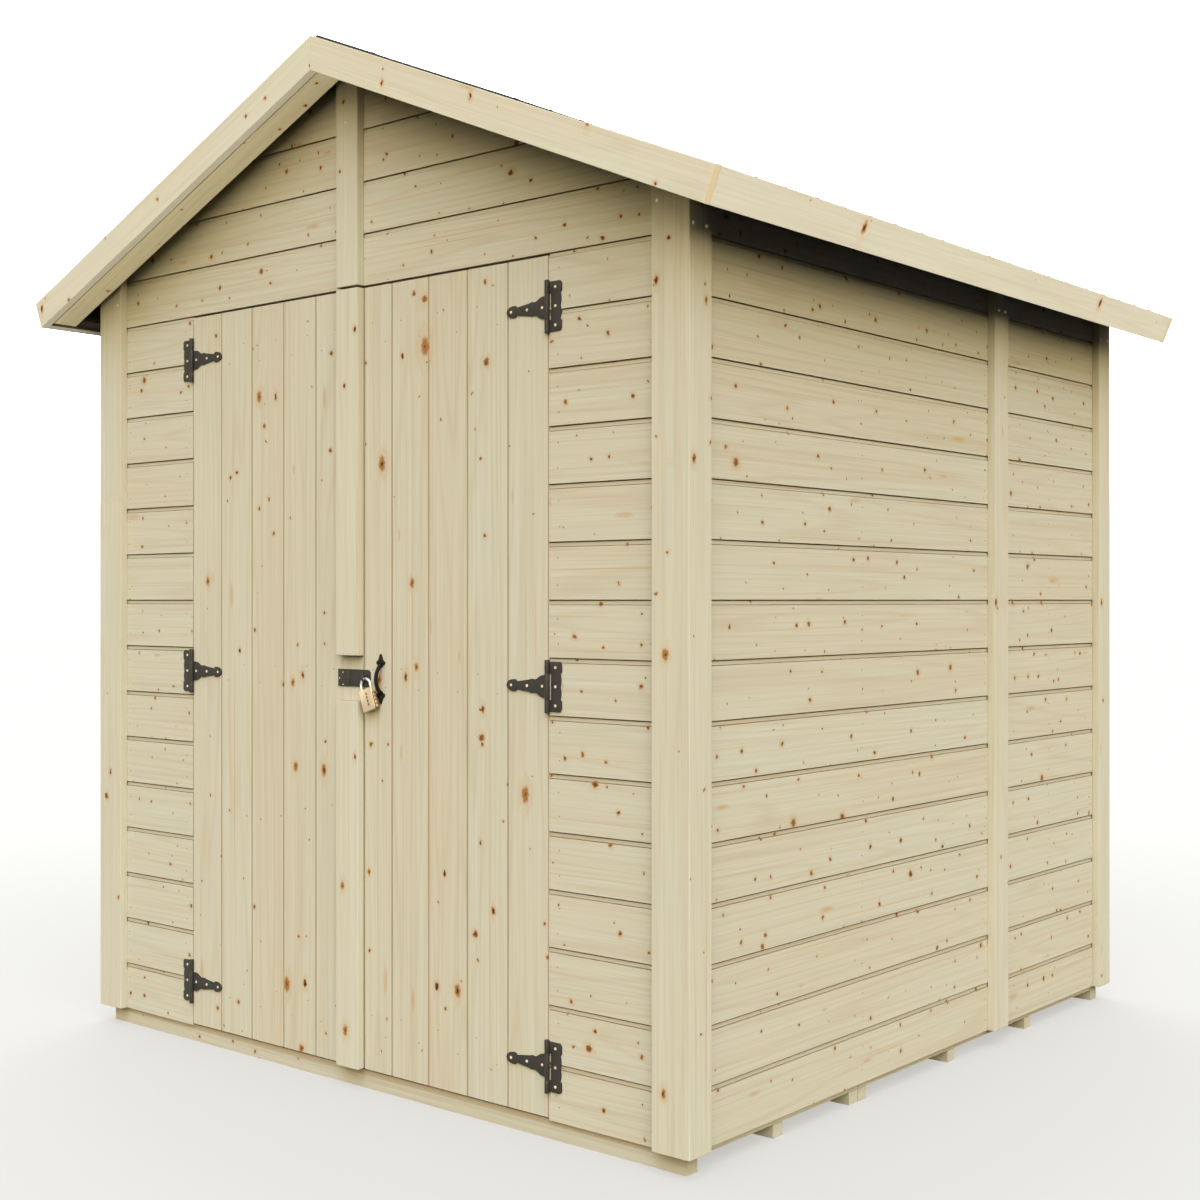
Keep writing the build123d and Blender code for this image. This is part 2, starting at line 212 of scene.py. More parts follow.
# node helpers

def startMaterial(name):
    material = bpy.data.materials.new(name)
    material.use_nodes = True
    tree = material.node_tree
    return material, tree, tree.nodes["Principled BSDF"]


def addNode(tree, kind, **settings):
    node = tree.nodes.new("ShaderNode" + kind)
    for key, value in settings.items():
        setattr(node, key, value)
    return node


def math2(tree, operation, a, b=0.0, c=0.0):
    node = addNode(tree, "Math", operation=operation)
    for socket, value in zip(node.inputs, (a, b, c)):
        if isinstance(value, (int, float)):
            socket.default_value = value
        else:
            tree.links.new(value, socket)
    return node.outputs[0]


def mixColour(tree, factor, a, b, blend="MIX"):
    node = addNode(tree, "Mix", data_type="RGBA", blend_type=blend)
    for socket, value in ((node.inputs[0], factor), (node.inputs[6], a), (node.inputs[7], b)):
        if isinstance(value, (int, float)):
            socket.default_value = value
        elif isinstance(value, tuple):
            socket.default_value = value + (1.0,)
        else:
            tree.links.new(value, socket)
    return node.outputs[2]


def softStep(tree, value, low, high):
    node = addNode(tree, "MapRange", interpolation_type="SMOOTHSTEP")
    tree.links.new(value, node.inputs["Value"])
    node.inputs["From Min"].default_value = low
    node.inputs["From Max"].default_value = high
    return node.outputs["Result"]


def stretch(tree, vector, scale, turn=(0, 0, 0)):
    node = addNode(tree, "Mapping")
    tree.links.new(vector, node.inputs["Vector"])
    node.inputs["Rotation"].default_value = [math.radians(a) for a in turn]
    node.inputs["Scale"].default_value = scale
    return node.outputs["Vector"]


def noise(tree, vector, scale=1.0, detail=2.0, roughness=0.5):
    node = addNode(tree, "TexNoise")
    tree.links.new(vector, node.inputs["Vector"])
    node.inputs["Scale"].default_value = scale
    node.inputs["Detail"].default_value = detail
    node.inputs["Roughness"].default_value = roughness
    return node.outputs["Fac"]


def strayed(tree, vector, grain, reach):
    # the same place, moved a little at random
    node = addNode(tree, "TexNoise")
    tree.links.new(stretch(tree, vector, (grain, grain, grain)), node.inputs["Vector"])
    node.inputs["Scale"].default_value = 1.0
    node.inputs["Detail"].default_value = 1.0
    centred = addNode(tree, "VectorMath", operation="SUBTRACT")
    tree.links.new(node.outputs["Color"], centred.inputs[0])
    centred.inputs[1].default_value = (0.5, 0.5, 0.5)
    moved = addNode(tree, "VectorMath", operation="MULTIPLY_ADD")
    tree.links.new(centred.outputs[0], moved.inputs[0])
    moved.inputs[1].default_value = (reach, reach, reach)
    tree.links.new(vector, moved.inputs[2])
    return moved.outputs[0]


def addBump(tree, shader, height, strength, distance):
    node = addNode(tree, "Bump")
    node.inputs["Strength"].default_value = strength
    node.inputs["Distance"].default_value = distance
    tree.links.new(height, node.inputs["Height"])
    tree.links.new(node.outputs["Normal"], shader.inputs["Normal"])


# pressure treated pine

pine = {
    "cream": (0.532, 0.520, 0.424), "tan": (0.526, 0.468, 0.350), "lateWood": (0.440, 0.360, 0.235),
    # paintedGrooveShade: painted shade colour for the grooves, slots and V joints
    "orange": (0.470, 0.270, 0.100), "endGrain": (0.500, 0.395, 0.265), "paintedGrooveShade": (0.62, 0.50, 0.36),
    "halo": (0.500, 0.330, 0.160), "knotRim": (0.320, 0.130, 0.022), "knotHeart": (0.050, 0.017, 0.006),
    # paintedTopShade: painted shade for faces turned up
    "paintedTopShade": (0.230, 0.180, 0.115),
    "lateMix": 0.26, "lineMix": 0.34, "veinMix": 0.55, "haloMix": 0.36, "rimMix": 0.93, "heartMix": 0.90,
    "sawnMix": 0.75, "paintedTopShadeMix": 0.72, "bandMix": 0.22, "gloss": 0.08, "bump": 0.40, "bumpDepth": 0.0004,
    # streaks: scale along and across the grain, detail, low and high edge
    "line": (0.9, 130.0, 1.0, 0.52, 0.78), "band": (0.5, 34.0, 2.0, 0.36, 0.64), "cloud": (1.3, 7.0, 1.5, 0.36, 0.64),
    "vein": (1.1, 150.0, 1.0, 0.68, 0.82), "stripe": (0.35, 95.0, 1.0, 0.36, 0.64),
    # strewn knots: cells a metre, share of cells with one, length, least radius and what is added to it
    "pin": {"cell": 14.0, "share": 0.75, "long": 1.0, "radius": 0.0018, "spread": 0.0034},
    "knot": {"cell": 5.5, "share": 0.45, "long": 1.05, "radius": 0.0040, "spread": 0.0045},
    "smear": {"cell": 8.0, "share": 0.40, "long": 4.0, "radius": 0.0012, "spread": 0.0026},
    "placedLong": 1.7, "strayGrain": 110.0, "stray": 0.0085, "wobble": 0.0030,
}


def streaks(tree, coord, along, across, detail, low, high):
    # noise drawn out along the grain
    return softStep(tree, noise(tree, stretch(tree, coord, (along, across, across)), 1.0, detail), low, high)


def fadeOut(tree, ratio, inner, outer):
    return math2(tree, "SUBTRACT", 1.0, softStep(tree, ratio, inner, outer))


def knotCells(tree, coord, wobble, kind, knotty):
    # some cells of a flat cell pattern hold a knot: its rim, its heart and its halo, all from 0 to 1
    k = pine[kind]
    cells = addNode(tree, "TexVoronoi", voronoi_dimensions="2D")
    tree.links.new(stretch(tree, coord, (1 / k["long"], 1.0, 1.0)), cells.inputs["Vector"])
    cells.inputs["Scale"].default_value = k["cell"]
    pick = addNode(tree, "SeparateColor")
    tree.links.new(cells.outputs["Color"], pick.inputs["Color"])
    here = math2(tree, "LESS_THAN", pick.outputs[0], k["share"] * knotty)
    reach = pine["wobble"] * k["cell"]
    away = math2(tree, "MULTIPLY_ADD", wobble, reach, math2(tree, "SUBTRACT", cells.outputs["Distance"], reach / 2))
    small = math2(tree, "MULTIPLY", pick.outputs[1], pick.outputs[1])
    size = math2(tree, "MULTIPLY_ADD", small, k["spread"] * k["cell"], k["radius"] * k["cell"])
    ratio = math2(tree, "DIVIDE", away, size)
    dark = math2(tree, "MULTIPLY_ADD", pick.outputs[2], 0.60, 0.40)
    bands = []
    for inner, outer in ((0.65, 1.25), (0.20, 0.95), (0.7, 3.2)):
        bands.append(math2(tree, "MULTIPLY", fadeOut(tree, ratio, inner, outer), here))
    return bands[0], math2(tree, "MULTIPLY", bands[1], dark), bands[2]


def placedKnots(tree, side, spots, wobble):
    # single knots: (x on the front or y on the sides, z, radius, share of it that is dark)
    def flatSpot(across, z):
        long = z / pine["placedLong"]
        return (across, 0.0, long) if side == "front" else (0.0, across, long)

    place = strayed(tree, addNode(tree, "TexCoord").outputs["Object"], pine["strayGrain"], pine["stray"])
    flat = stretch(tree, place, flatSpot(1.0, 1.0))
    stray = math2(tree, "MULTIPLY_ADD", wobble, pine["wobble"], -pine["wobble"] / 2)
    rimRatio = heartRatio = 9.0  # far from any knot
    for across, z, radius, dark in spots:
        gauge = addNode(tree, "VectorMath", operation="DISTANCE")
        tree.links.new(flat, gauge.inputs[0])
        gauge.inputs[1].default_value = flatSpot(across, z)
        away = math2(tree, "ADD", gauge.outputs["Value"], stray)
        rimRatio = math2(tree, "MINIMUM", math2(tree, "DIVIDE", away, radius), rimRatio)
        heartRatio = math2(tree, "MINIMUM", math2(tree, "DIVIDE", away, max(radius * dark, 0.0003)), heartRatio)
    bands = ((rimRatio, 0.55, 1.15), (heartRatio, 0.55, 1.20), (rimRatio, 0.8, 3.0))
    return [fadeOut(tree, *band) for band in bands]


def makePine(name, grainTurn=None, shade=1.0, knotty=1.0, spots=(), boardMix=0.25, streaky=1.0, tint=(1, 1, 1)):
    # grainTurn is for CAD timbers, which carry no woodCoord: it turns their grain to x
    material, tree, shader = startMaterial(name)
    if grainTurn is None:
        coord = addNode(tree, "Attribute", attribute_name="woodCoord").outputs["Vector"]
        tone, sawn, paintedGrooveShade, broad = [addNode(tree, "Attribute", attribute_name=layer).outputs["Fac"]
                                     for layer in ("boardTone", "endCut", "paintedGrooveShade", "broadFace")]
    else:
        place = addNode(tree, "TexCoord").outputs["Object"]
        coord = stretch(tree, place, (1, 1, 1), grainTurn)
        tone = noise(tree, coord, 1.3, 0.0)
        sawn = paintedGrooveShade = broad = None

    wobble = noise(tree, stretch(tree, coord, (190, 190, 190)), 1.0, 1.0)
    knotPlace = strayed(tree, coord, pine["strayGrain"], pine["stray"])
    pinRim, pinHeart, pinNear = knotCells(tree, knotPlace, wobble, "pin", knotty)
    rim, heart, near = knotCells(tree, knotPlace, wobble, "knot", knotty)
    smear = knotCells(tree, coord, wobble, "smear", max(knotty, 0.6))[2]
    rim = math2(tree, "MAXIMUM", rim, pinRim)
    heart = math2(tree, "MAXIMUM", heart, pinHeart)
    halo = math2(tree, "MAXIMUM", near, pinNear)
    for side, knots in spots:
        placedRim, placedHeart, placedNear = placedKnots(tree, side, knots, wobble)
        rim = math2(tree, "MAXIMUM", rim, placedRim)
        heart = math2(tree, "MAXIMUM", heart, placedHeart)
        halo = math2(tree, "MAXIMUM", halo, placedNear)
        near = math2(tree, "MAXIMUM", near, placedNear)
    if broad is not None:
        rim, heart, halo, smear = [math2(tree, "MULTIPLY", layer, broad) for layer in (rim, heart, halo, smear)]

    # growth rings drawn out along the board, bending round the knots
    figure = noise(tree, stretch(tree, coord, (0.40, 8.0, 8.0)), 1.0, 1.5, 0.40)
    bent = math2(tree, "MULTIPLY_ADD", near, 0.055, math2(tree, "MULTIPLY_ADD", pinNear, 0.02, figure))
    rings = math2(tree, "PINGPONG", math2(tree, "MULTIPLY", bent, 30.0), 1.0)
    late = softStep(tree, rings, 0.55, 1.0)
    fibre = noise(tree, stretch(tree, coord, (4.0, 330.0, 330.0)), 1.0, 3.0, 0.6)
    line, band, cloud, vein, stripe = [streaks(tree, coord, *pine[kind])
                                       for kind in ("line", "band", "cloud", "vein", "stripe")]

    def lay(under, mask, share, over):
        return mixColour(tree, math2(tree, "MULTIPLY", mask, share), under, over)

    warm = math2(tree, "MULTIPLY", cloud, pine["bandMix"])
    for layer, share in ((stripe, pine["bandMix"]), (band, pine["bandMix"]), (tone, boardMix)):
        warm = math2(tree, "MULTIPLY_ADD", layer, share, warm)
    colour = mixColour(tree, warm, pine["cream"], pine["tan"])
    colour = lay(colour, late, pine["lateMix"] * streaky, pine["lateWood"])
    colour = lay(colour, line, pine["lineMix"] * streaky, pine["lateWood"])
    colour = lay(colour, vein, pine["veinMix"] * streaky, pine["orange"])
    lift = math2(tree, "MULTIPLY_ADD", fibre, 0.30 * shade, 0.87 * shade)
    lifted = addNode(tree, "CombineColor")
    for socket, part in zip(lifted.inputs, tint):
        tree.links.new(math2(tree, "MULTIPLY", lift, part), socket)
    colour = mixColour(tree, 1.0, colour, lifted.outputs[0], "MULTIPLY")
    # painted shade in the grooves and V joints, from the paintedGrooveShade attribute
    if paintedGrooveShade is not None:
        colour = mixColour(tree, paintedGrooveShade, colour, pine["paintedGrooveShade"], "MULTIPLY")
    colour = lay(colour, halo, pine["haloMix"], pine["halo"])
    colour = lay(colour, smear, math2(tree, "MULTIPLY_ADD", fibre, 0.8, 0.1), pine["orange"])
    colour = lay(colour, rim, pine["rimMix"], pine["knotRim"])
    colour = lay(colour, heart, pine["heartMix"], pine["knotHeart"])
    if sawn is not None:
        ends = mixColour(tree, softStep(tree, fibre, 0.3, 0.7), pine["endGrain"], pine["lateWood"])
        colour = lay(colour, sawn, pine["sawnMix"], ends)
    # faces turned up are painted darker: painted shade that tempers the strong light from overhead
    turned = addNode(tree, "SeparateXYZ")
    tree.links.new(addNode(tree, "TexCoord").outputs["Normal"], turned.inputs[0])
    colour = lay(colour, softStep(tree, turned.outputs["Z"], 0.6, 1.0), pine["paintedTopShadeMix"], pine["paintedTopShade"])
    tree.links.new(colour, shader.inputs["Base Color"])

    rough = math2(tree, "MULTIPLY_ADD", fibre, 0.20, math2(tree, "MULTIPLY_ADD", late, -0.10, 0.58))
    tree.links.new(rough, shader.inputs["Roughness"])
    shader.inputs["Specular IOR Level"].default_value = pine["gloss"]
    height = math2(tree, "MULTIPLY_ADD", line, -0.3, math2(tree, "MULTIPLY_ADD", rim, 0.35, fibre))
    addBump(tree, shader, height, pine["bump"], pine["bumpDepth"])
    return material


doorKnots = [
    (0.154, 1.557, 0.0045, 0.85), (0.221, 1.571, 0.0125, 0.15), (0.091, 1.335, 0.0110, 0.35),
    (0.183, 1.082, 0.0065, 0.30), (0.081, 0.876, 0.0075, 0.30), (0.164, 0.886, 0.0060, 0.55),
    (0.196, 0.907, 0.0058, 0.30), (0.387, 0.828, 0.0055, 0.60), (0.050, 0.466, 0.0050, 0.40),
    (0.279, 0.486, 0.0042, 0.90), (0.381, 0.560, 0.0038, 0.60), (0.416, 0.426, 0.0055, 0.55),
    (0.503, 0.665, 0.0105, 0.20), (0.256, 0.252, 0.0060, 0.75), (0.316, 0.252, 0.0090, 0.40),
    (-0.318, 1.508, 0.0085, 0.25), (-0.260, 1.504, 0.0052, 0.75), (-0.284, 1.274, 0.0036, 0.95),
    (-0.423, 1.329, 0.0040, 0.60), (-0.508, 1.090, 0.0070, 0.35), (-0.389, 0.930, 0.0036, 0.85),
    (-0.167, 0.881, 0.0052, 0.60), (-0.200, 0.862, 0.0058, 0.25), (-0.095, 0.674, 0.0085, 0.45),
    (-0.190, 0.676, 0.0070, 0.20), (-0.221, 0.187, 0.0110, 0.25), (-0.159, 0.198, 0.0055, 0.90),
]
stripKnots = [
    (-0.007, 1.507, 0.0036, 0.60), (0.026, 1.625, 0.0040, 0.70), (-0.049, 1.120, 0.0060, 0.25),
    (-0.052, 0.706, 0.0042, 0.55), (0.027, 0.712, 0.0042, 0.60), (-0.013, 0.433, 0.0060, 0.25),
    (-0.004, 0.123, 0.0075, 0.30),
]
trimKnots = [
    (0.764, 1.910, 0.0060, 0.50), (0.221, 2.088, 0.0045, 0.60), (-1.019, 1.771, 0.0065, 0.70),
    (0.469, 2.014, 0.0045, 0.55), (0.843, 1.629, 0.0060, 0.55), (0.864, 0.947, 0.0075, 0.30),
    (-0.875, 0.620, 0.0050, 0.60), (0.860, 0.150, 0.0060, 0.45),
]
sideKnots = [
    (-0.520, 1.765, 0.0080, 0.60), (0.574, 1.767, 0.0080, 0.60), (-0.869, 1.591, 0.0050, 0.50),
    (0.271, 1.040, 0.0070, 0.45), (0.867, 1.040, 0.0065, 0.50), (-0.905, 1.300, 0.0060, 0.40),
]
wallPine = makePine("wallPine")
doorPine = makePine("doorPine", knotty=0.30, spots=[("front", doorKnots)], boardMix=0.42)
trimPine = makePine("trimPine", shade=1.02, knotty=0.30, streaky=0.6,
                    spots=[("front", trimKnots), ("side", sideKnots)])
# a darker copy of the trim pine: painted shade to offset the lamp from below
shadedFasciaPine = makePine("shadedFasciaPine", shade=0.93, knotty=0.30, streaky=0.6,
                      spots=[("side", sideKnots)], tint=(0.97, 0.99, 1.06))
# a warmer, brighter copy of the pine: painted light on the rails' undersides
litRailPine = makePine("litRailPine", shade=0.95, knotty=0.8, tint=(1.15, 1.09, 0.88))
stripPine = makePine("stripPine", shade=1.03, knotty=0.12, spots=[("front", stripKnots)], streaky=0.6)
floorPine = makePine("floorPine", shade=0.97)
eaveShadePine = makePine("eaveShadePine", shade=0.14)  # painted shade: near black boards where the eaves lie in shade
endStudPine = makePine("endStudPine", (90, 0, 90), 0.98, 0.15)
sideStudPine = makePine("sideStudPine", (0, 90, 0), 0.98, 0.15)
acrossPine = makePine("acrossPine", (90, 0, 0), 0.98, 0.6)
deepPine = makePine("deepPine", (-90, -90, 0), 0.98, 0.6)
print("pine: 12 materials")


# roof geometry, read back from the frame

roof = {"pitch": 23.0, "boards": 10, "deck": 0.012}
pitchSin = math.sin(math.radians(roof["pitch"]))
pitchCos = math.cos(math.radians(roof["pitch"]))
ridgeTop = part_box("right_bargeboards")[1].z
ridgeUnder = ridgeTop - roof["deck"] / pitchCos
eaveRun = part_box("right_bargeboards")[1].x / pitchCos
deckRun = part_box("roof_deck_right")[1].x / pitchCos


def slopeFrame(side):
    # x down the slope from the ridge, z square out of the boards
    down = Vector((side * pitchCos, 0, -pitchSin))
    out = Vector((side * pitchSin, 0, pitchCos))
    along = out.cross(down)
    turn = Matrix((down, along, out)).transposed().to_4x4()
    return Matrix.Translation((0, 0, ridgeTop)) @ turn


def sawUnderRoof(piece):
    for side in (-1, 1):
        sawOff(piece, (0, 0, ridgeUnder), (side * pitchSin, 0, pitchCos))


# shiplap walls

# shade gives the painted shade of each groove face: slot, band and slope
shiplap = {"cover": 0.112, "thick": 0.012, "bandHigh": 0.0106, "bandDeep": 0.0030, "notchHigh": 0.0014,
           "notchDeep": 0.0052, "slotHigh": 0.0022, "slotDeep": 0.0078, "slotSlope": 0.0002, "edge": 0.0005,
           "shade": {"slot": 1.0, "band": 0.15, "slope": 0.7}}


def makeShiplapBoard():
    # a metre of board, face to -Y: along its top a fine notch, a set back band and a narrow slot
    s = shiplap
    board = addBlock("shiplapBoard", (0, 0, 0), (1, s["thick"], s["cover"]))
    notch = s["cover"] - s["bandHigh"]
    slot = s["cover"] - s["slotHigh"]
    for level in (notch, notch + s["notchHigh"] / 2, notch + s["notchHigh"], slot, slot + s["slotSlope"]):
        scoreLine(board, (0, 0, level), (0, 0, 1))
    inNotch, inBand, inSlot = notch + s["notchHigh"] * 0.25, notch + s["notchHigh"] * 0.75, slot + s["slotSlope"] / 2
    cuts = ((inNotch, inBand, s["notchDeep"]), (inBand, inSlot, s["bandDeep"]), (inSlot, 1.0, s["slotDeep"]))
    for low, high, deep in cuts:
        editSome(board, "VERT", lambda co: co.y < 0.0001 and low < co.z < high)
        bpy.ops.transform.translate(value=(0, deep, 0))
        objectMode()

    # how much painted shade a groove face gets
    def grooveShade(spot, normal):
        if not 0.0008 < spot.y < 0.010 or spot.z < notch:  # face and back
            return 0.0
        if spot.z > slot:
            return s["shade"]["slot"]
        return s["shade"]["band" if abs(normal.z) < 0.1 else "slope"]

    paintGrooveShade(board, grooveShade)
    editSome(board, "EDGE", lambda a, b: max(a.y, b.y) < 0.0005 and max(a.z, b.z) < 0.001 and abs(a.z - b.z) < 0.0001)
    bpy.ops.mesh.bevel(offset=s["edge"], segments=2)
    objectMode()
    return board


shiplapBoard = makeShiplapBoard()


def layCourses(low, high, facing):
    # facing: 0 front, 90 right, 180 back, 270 left
    s = shiplap
    turn = Matrix.Rotation(math.radians(facing), 4, "Z")
    start = {0: (low.x, low.y), 90: (high.x, low.y), 180: (high.x, high.y), 270: (low.x, high.y)}[facing]
    length = high.x - low.x if facing in (0, 180) else high.y - low.y
    boards = []
    level = low.z
    while level < high.z - s["cover"] / 4:
        place = Matrix.Translation((start[0], start[1], level))
        board = copyPiece(shiplapBoard, place @ turn @ Matrix.Diagonal((length, 1, 1, 1)))
        boards.append(setGrain(board, turn @ Vector((1, 0, 0)), (0, 0, 1)))
        level += s["cover"]
    return boards


walls = {
    "front_wall_left": 0, "front_wall_right": 0, "front_gable": 0, "back_wall": 180, "back_gable": 180,
    "left_wall_front": 270, "left_wall_rear": 270, "right_wall_front": 90, "right_wall_rear": 90,
}
for node, facing in walls.items():
    low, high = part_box(node)
    if node == "back_wall":
        boards = layCourses(low, Vector((0, high.y, high.z)), facing)
        boards += layCourses(Vector((0, low.y, low.z)), high, facing)
    else:
        boards = layCourses(low, high, facing)
    wall = joinPieces(node + "_boards", boards)
    if "gable" in node:
        sawUnderRoof(wall)
    mount(wall, wallPine, "shiplap_boards", "shed", node)
discard(shiplapBoard)
print("walls:", len(walls), "panels of shiplap")


# trims: planed battens, eased along every edge

trim = {"ease": 0.0012}


def addBatten(name, low, high, along, across, underRoof=False):
    batten = addBlock(name, low, high)
    if underRoof:
        sawUnderRoof(batten)
    easeEdges(batten, trim["ease"])
    return setGrain(batten, along, across)


def boxesOf(node):
    # the boxes of a node's separate solids, from the loose parts of a merged copy
    deselect()
    mergedCopy(node)
    bpy.ops.mesh.separate(type="LOOSE")
    objectMode()
    parts = list(bpy.context.selected_objects)
    boxes = []
    for part in parts:
        spots = [v.co for v in part.data.vertices]
        low = Vector([min(s[i] for s in spots) for i in range(3)])
        high = Vector([max(s[i] for s in spots) for i in range(3)])
        boxes.append((low, high))
        discard(part)
    return sorted(boxes, key=lambda box: tuple(box[0]))


up, sideways, inwards = (0, 0, 1), (1, 0, 0), (0, 1, 0)
uprights = {"corner_trims": sideways, "center_trims": sideways, "left_side_trims": inwards, "right_side_trims": inwards}
for node, across in uprights.items():
    battens = [addBatten(node + "_batten", low, high, up, across, True) for low, high in boxesOf(node)]
    mount(joinPieces(node + "_battens", battens), trimPine, "trim_timber", "shed", node)
battens = [addBatten("cover_batten", low, high, up, sideways) for low, high in boxesOf("door_cover_strip")]
mount(joinPieces("cover_strip_battens", battens), stripPine, "trim_timber", "left_door", "door_cover_strip")
print("trims: corners, sides, centre and cover strip")


# roof edge boards, laid in the slope

def addSlopeBatten(name, side, runs, depths, widths, gap=None, lie="slope"):
    place = slopeFrame(side)
    low, high = sorted(side * w for w in widths)
    batten = addBlock(name, (runs[0], low, -depths[1]), (runs[1], high, -depths[0]))
    batten.data.transform(place)
    if gap is not None:
        sawOff(batten, (side * gap, 0, 0), (-side, 0, 0))  # plumb cut at the ridge
    easeEdges(batten, trim["ease"])
    down = place.to_3x3() @ Vector((1, 0, 0))
    out = place.to_3x3() @ Vector((0, 0, 1))
    along, across = {"slope": (down, out), "eave": (inwards, out), "underside": (down, inwards)}[lie]
    return setGrain(batten, along, across)


edges = {"deep": 0.068, "thick": 0.019, "railDeep": 0.062, "railWide": 0.070, "railThick": 0.028, "railGap": 0.0085,
         "ridgeLap": 0.06, "ridgeGap": 0.001, "innerTurn": -0.5}
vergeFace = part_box("right_bargeboards")[1].y
vergeInner = vergeFace - edges["thick"]
railInner = vergeInner - edges["railWide"]
railOuter = vergeInner - edges["railGap"]
boardDepths = (0, edges["deep"])
railDepths = (roof["deck"], edges["railDeep"])
for side, name in ((-1, "left"), (1, "right")):
    pair = []
    for end in (-1, 1):
        pair.append(addSlopeBatten(name + "Barge", side, (-edges["ridgeLap"], eaveRun), boardDepths,
                                   (end * vergeInner, end * vergeFace), 0.0))
    mount(joinPieces(name + "_barge_battens", pair), trimPine, "trim_timber", "shed", name + "_bargeboards")

fascias, vergeRails, eaveRails = [], [], []
for side in (-1, 1):
    fascias.append(addSlopeBatten("fascia", side, (deckRun, eaveRun), boardDepths,
                                  (-vergeInner, vergeInner), None, "eave"))
    eaveRails.append(addSlopeBatten("eaveRail", side, (deckRun - edges["railThick"], deckRun), railDepths,
                                    (-railInner, railInner), None, "eave"))
    for end in (-1, 1):
        vergeRails.append(addSlopeBatten("vergeRail", side, (-edges["ridgeLap"], deckRun), railDepths,
                                         (end * railInner, end * railOuter), edges["ridgeGap"], "underside"))
fascia = mount(joinPieces("fascia_battens", fascias), shadedFasciaPine, "trim_timber", "shed", "eave_fascias")
fascia.data.materials.append(eaveShadePine)
for f in fascia.data.polygons:  # inner sides get the near black eave boards: painted shade
    f.material_index = 1 if f.normal.x * f.center.x < edges["innerTurn"] else 0
mount(joinPieces("verge_rail_battens", vergeRails), litRailPine, "frame_timber", "shed", "verge_rails")
# the eave rails are near black: painted shade under the eaves
mount(joinPieces("eave_rail_battens", eaveRails), eaveShadePine, "frame_timber", "shed", "eave_rails")
print("roof edges: bargeboards, fascias, rails")


# floor and roof boards, edge to edge

flatBoards = {"cover": 0.112, "thick": 0.012, "edge": 0.0007, "gap": 0.0005}


def makeFlatBoard():
    # a metre of board: x along it, y across it, top at z = 0
    f = flatBoards
    board = addBlock("flatBoard", (0, f["gap"] / 2, -f["thick"]), (1, f["cover"] - f["gap"] / 2, 0))
    editSome(board, "EDGE", lambda a, b: abs(a.x - b.x) > 0.5)
    bpy.ops.mesh.bevel(offset=f["edge"], segments=2)
    objectMode()
    return board


flatBoard = makeFlatBoard()
quarter = Matrix.Rotation(math.radians(90), 4, "Z")
floorPanels = []
for low, high in boxesOf("floor_decks"):
    boards = []
    edge = high.x
    while edge > low.x + 0.002:
        place = Matrix.Translation((edge, low.y, high.z)) @ quarter
        board = copyPiece(flatBoard, place @ Matrix.Diagonal((high.y - low.y, 1, 1, 1)))
        boards.append(setGrain(board, (0, 1, 0), (1, 0, 0)))
        edge -= flatBoards["cover"]
    panel = joinPieces("floorPanel", boards)
    sawOff(panel, (low.x, 0, 0), (-1, 0, 0))
    floorPanels.append(panel)
mount(joinPieces("floor_deck_boards", floorPanels), floorPine, "floor_timber", "shed", "floor_decks")

for side, node in ((-1, "roof_deck_left"), (1, "roof_deck_right")):
    boards = []
    step = deckRun / roof["boards"]
    for i in range(roof["boards"]):
        inSlope = Matrix.Translation((step * (i + 1), -vergeInner, 0)) @ quarter
        board = copyPiece(flatBoard, slopeFrame(side) @ inSlope @ Matrix.Diagonal((vergeInner * 2, 1, 1, 1)))
        boards.append(setGrain(board, (0, 1, 0), slopeFrame(side).to_3x3() @ Vector((1, 0, 0))))
    deck = joinPieces(node + "_boards", boards)
    sawOff(deck, (0, 0, 0), (-side, 0, 0))
    # the roof boards are near black: painted shade under the roof
    mount(deck, eaveShadePine, "roof_boards", "shed", node)
discard(flatBoard)
print("floor and roof boards")


# door leaves: upright boards with a fine V between them

door = {"joints": (0.122, 0.232, 0.344, 0.456), "vee": 0.0022, "veeShade": 0.8, "gap": 0.0005, "reach": 0.0009,
        "tones": {-1: (0.15, 0.05, 1.0, 0.45, 0.25), 1: (0.35, 0.40, 0.95, 0.0, 0.15)}}
for node, body in (("left_door_boards", "left_door"), ("right_door_boards", "right_door")):
    low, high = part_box(node)
    side = -1 if body == "left_door" else 1
    outer, inner = (low.x - door["reach"], high.x) if side < 0 else (high.x + door["reach"], low.x)
    lines = sorted([outer, inner] + [side * j for j in door["joints"]])
    boards = []
    for a, b, tone in zip(lines, lines[1:], door["tones"][side]):
        board = addBlock("doorBoard", (a + door["gap"] / 2, low.y, low.z),
                         (b - door["gap"] / 2, high.y, high.z))
        editSome(board, "EDGE", lambda p, q: max(p.y, q.y) < low.y + 0.001 and abs(p.z - q.z) > 1)
        bpy.ops.mesh.bevel(offset=door["vee"], segments=1)
        objectMode()
        # the V joint faces get painted shade
        paintGrooveShade(board, lambda spot, normal: door["veeShade"] if normal.y < -0.3 and abs(normal.x) > 0.3 else 0.0)
        boards.append(setGrain(board, (0, 0, 1), (1, 0, 0), tone))
    mount(joinPieces(body + "_planks", boards), doorPine, "door_timber", body, node)
print("doors: two leaves of boards")


# timbers that stay as they come from the frame

plain = {
    "side_wall_studs": sideStudPine, "end_wall_studs": endStudPine, "side_wall_rails": deepPine,
    "end_wall_rails": acrossPine, "gable_rails": acrossPine, "ridge_beam": deepPine, "roof_purlins": deepPine,
    "floor_bearers": acrossPine, "left_door_ledges": acrossPine, "right_door_ledges": acrossPine,
    "left_door_braces": endStudPine, "right_door_braces": endStudPine,
}
for node, material in plain.items():
    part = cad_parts[node]
    part.data.materials.clear()
    part.data.materials.append(material)
print("frame timbers:", len(plain))


